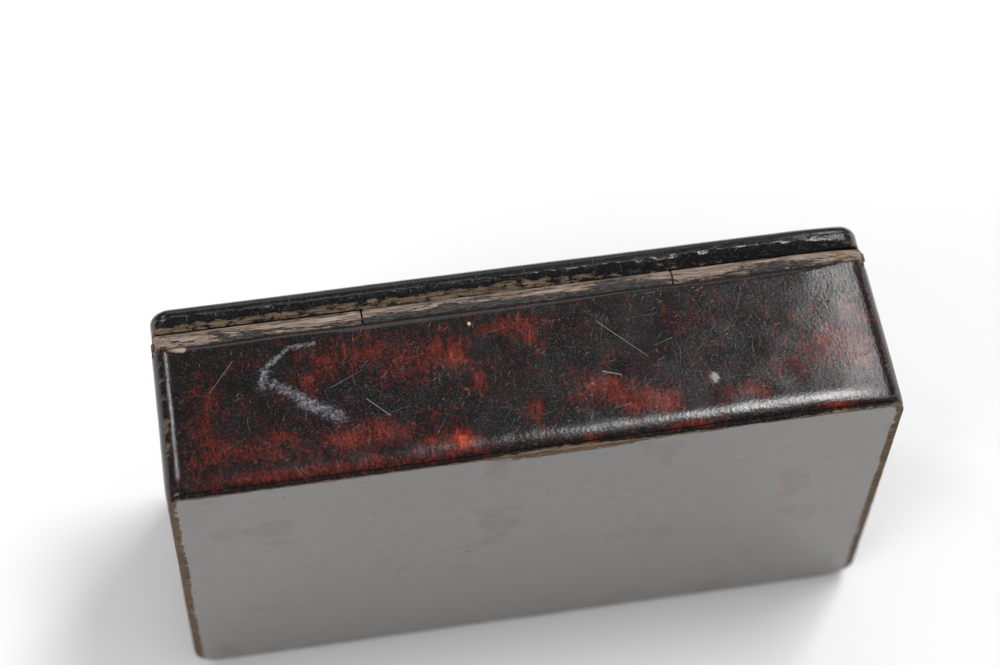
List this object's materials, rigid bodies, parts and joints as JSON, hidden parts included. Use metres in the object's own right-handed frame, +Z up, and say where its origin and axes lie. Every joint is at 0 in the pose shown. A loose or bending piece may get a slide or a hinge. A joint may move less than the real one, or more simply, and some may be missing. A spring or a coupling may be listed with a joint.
{
  "type": "rosin box with cake",
  "caption": "Small rectangular lacquered box with an integral wooden hinge, holding a grooved cake of bow rosin nested in cloth.",
  "frame": {"origin": "centre of the bottom face", "axes": "+X along the box, +Y towards the hinge wall, +Z up, lid closed"},
  "size_m": [0.084, 0.048, 0.0246],
  "materials": {
    "lacquered_body": "red and black tortoiseshell lacquer, satin, scratched and worn at the edges",
    "lacquered_lid": "red and black tortoiseshell lacquer, satin, scratched and worn at the edges",
    "worn_hinge_wood": "bare worn wood with remains of black lacquer",
    "black_lining": "matt black lacquer",
    "pin_brass": "dull drawn wire",
    "plug_filler": "dark filler",
    "cake_cloth": "soft green napped cloth with rosin dust",
    "rosin": "dark amber resin, polished by the bow along its groove and dusty at the edges"
  },
  "bodies": {
    "box": {"base_panel": "lacquered_body", "front_wall": "lacquered_body", "back_wall": "lacquered_body", "left_wall": "lacquered_body", "right_wall": "lacquered_body", "body_knuckle_left": "worn_hinge_wood", "body_knuckle_right": "worn_hinge_wood", "hinge_pin": "pin_brass", "pin_plugs": "plug_filler", "rosin_cloth": "cake_cloth", "rosin_cake": "rosin"},
    "lid": {"lid_panel": "lacquered_lid", "lid_knuckle": "worn_hinge_wood", "lid_lip_front": "black_lining", "lid_lip_left": "black_lining", "lid_lip_right": "black_lining"}
  },
  "joints": [
    {"name": "lid_hinge", "type": "hinge", "parent": "box", "child": "lid", "pos_m": [0, 0.0223, 0.02015], "axis": [-1, 0, 0], "range_deg": [0, 95]}
  ]
}
